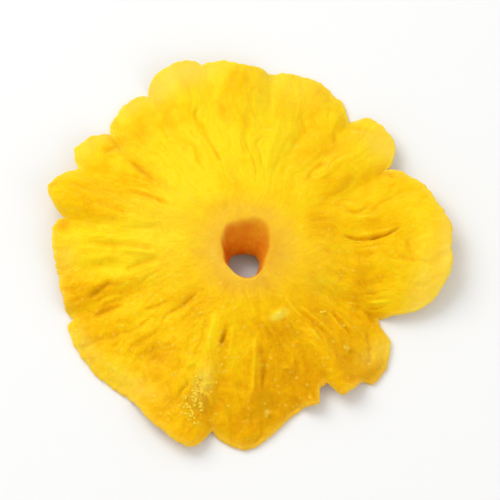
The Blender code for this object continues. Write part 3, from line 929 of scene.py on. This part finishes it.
def dried_flesh(name, clearness):
    """Golden, half-clear fruit with pale fibres, a moist sheen and a fine grain."""
    material = bpy.data.materials.new(name)
    material.use_nodes = True
    tree = material.node_tree
    shader = tree.nodes["Principled BSDF"]
    place = add(tree, "ShaderNodeTexCoord").outputs["Object"]
    fan = add(tree, "ShaderNodeAttribute", attribute_name="fan").outputs["Vector"]
    coarse_fan = stretched(tree, fan, COARSE_FAN)
    fine_fan = stretched(tree, fan, FINE_FAN)

    clouds = spots(tree, place, CLOUD_COUNT)
    mottle = spots(tree, place, MOTTLE_COUNT, detail=4.0, roughness=0.6)
    streaks = spots(tree, coarse_fan, 1.0, detail=4.0, roughness=0.6, distortion=0.6)
    fibres = spots(tree, fine_fan, 1.0, detail=4.0, roughness=0.6, distortion=0.5)
    grain = maths(tree, "MULTIPLY", spots(tree, place, GRAIN_COUNT, roughness=0.65), number(tree, "grain"))

    patterns = zip((clouds, mottle, streaks, fibres, grain), TONE_SHARES)
    tone = layered(tree, number(tree, "tone"), patterns)
    depth = maths(tree, "MULTIPLY", tone, 1.0 / DARKEST_TONE)
    stops = ((0.0, LEMON), (0.5 / DARKEST_TONE, GOLD), (1.0 / DARKEST_TONE, DEEP_GOLD), (1.0, DARK_GOLD_AND_CREASE_SHADE))
    colour = ramp(tree, depth, stops)
    uneven = maths(tree, "MULTIPLY_ADD", mottle, PALE_UNEVENNESS, 1.0)
    pale = maths(tree, "MULTIPLY", number(tree, "pale"), uneven)
    cells = add(tree, "ShaderNodeTexVoronoi", {"Vector": place, "Scale": SPECK_COUNT}).outputs
    speck = maths(tree, "MULTIPLY_ADD", cells["Distance"], SPECK_FALL, SPECK_LEVEL, clamp=True)
    chosen = maths(tree, "MULTIPLY", speck, maths(tree, "GREATER_THAN", cells["Color"], SPECK_LIMIT))
    specks = maths(tree, "MULTIPLY", chosen, number(tree, "grain"))
    dry = maths(tree, "MULTIPLY_ADD", specks, SPECK_PALENESS, pale, clamp=True)
    colour = blended(tree, dry, colour, PALE_FLESH)
    # The hole's wall: orange that is partly painted shade.
    cover = maths(tree, "MULTIPLY_ADD", mottle, WALL_MOTTLE, WALL_COVER)
    wall = maths(tree, "MULTIPLY", number(tree, "hole"), cover)
    colour = blended(tree, wall, colour, WALL_ORANGE_AND_SHADE)
    tree.links.new(colour, shader.inputs["Base Color"])
    roughness = maths(tree, "MULTIPLY_ADD", mottle, ROUGHNESS_MOTTLE, SURFACE_ROUGHNESS)
    tree.links.new(roughness, shader.inputs["Roughness"])

    raised = maths(tree, "MULTIPLY", fibres, BUMP_SHARES[0])
    height = layered(tree, raised, zip((mottle, specks, grain), BUMP_SHARES[1:]))
    bump = add(tree, "ShaderNodeBump", {"Height": height, "Distance": BUMP_HEIGHT, "Strength": BUMP_STRENGTH})
    tree.links.new(bump.outputs[0], shader.inputs["Normal"])

    shader.inputs["Specular IOR Level"].default_value = SHINE
    shader.inputs["Specular Tint"].default_value = (*SHEEN, 1.0)
    shader.inputs["Subsurface Weight"].default_value = clearness
    shader.inputs["Subsurface Radius"].default_value = SCATTER_COLOURS
    shader.inputs["Subsurface Scale"].default_value = SCATTER_DEPTH
    return material


def plain_paper():
    """The floor's matt white."""
    material = bpy.data.materials.new("plain_paper")
    material.use_nodes = True
    shader = material.node_tree.nodes["Principled BSDF"]
    shader.inputs["Base Color"].default_value = (*FLOOR_WHITE, 1.0)
    shader.inputs["Roughness"].default_value = 0.9
    shader.inputs["Specular IOR Level"].default_value = 0.1
    return material


def floor():
    """A wide floor just under the fruit."""
    sheet = bmesh.new()
    below = Matrix.Translation((0.0, 0.0, -FLOOR_GAP))
    bmesh.ops.create_grid(sheet, x_segments=1, y_segments=1, size=FLOOR_HALF_WIDTH, matrix=below)
    mesh = bpy.data.meshes.new("floor")
    sheet.to_mesh(mesh)
    sheet.free()
    mesh.materials.append(plain_paper())
    ground = bpy.data.objects.new("floor", mesh)
    bpy.context.scene.collection.objects.link(ground)
    return ground


def softbox(name, place, width, power):
    """A square area light at a place, which shines at the middle of the ring."""
    lamp = bpy.data.lights.new(name, "AREA")
    lamp.size = width
    lamp.energy = power
    holder = bpy.data.objects.new(name, lamp)
    holder.location = place
    holder.rotation_euler = (-Vector(place)).to_track_quat("-Z", "Y").to_euler()
    bpy.context.scene.collection.objects.link(holder)


def studio_camera(aim, distance, elevation, lens):
    """A camera in front of the ring that looks down on it."""
    view = bpy.data.cameras.new("camera")
    view.lens = lens
    holder = bpy.data.objects.new("camera", view)
    tilt = math.radians(elevation)
    back = Vector((0.0, -math.cos(tilt), math.sin(tilt)))
    holder.location = Vector(aim) + back * distance
    holder.rotation_euler = (-back).to_track_quat("-Z", "Y").to_euler()
    bpy.context.scene.collection.objects.link(holder)
    bpy.context.scene.camera = holder


def daylight(strength):
    """Even white light from all round."""
    world = bpy.data.worlds.new("studio")
    world.use_nodes = True
    background = world.node_tree.nodes["Background"]
    background.inputs["Color"].default_value = (1.0, 1.0, 1.0, 1.0)
    background.inputs["Strength"].default_value = strength
    bpy.context.scene.world = world


flesh = dried_flesh("dried_flesh", clearness=0.5)
ring, shift = fruit(flesh)
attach(ring, "root")
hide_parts("pineapple_ring")
loose = crumbs(dried_flesh("crumb_flesh", clearness=0.0), shift)
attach(loose, "root")

floor()
softbox("window", place=(-0.42, 0.40, 0.62), width=0.60, power=3.9)
softbox("bounce", place=(0.60, -0.45, 0.45), width=0.80, power=1.3)
daylight(strength=0.68)
studio_camera(aim=(0.0, 0.0, 4.0 * MM), distance=1.50, elevation=69.0, lens=530.0)
bpy.context.scene.view_settings.view_transform = "Standard"
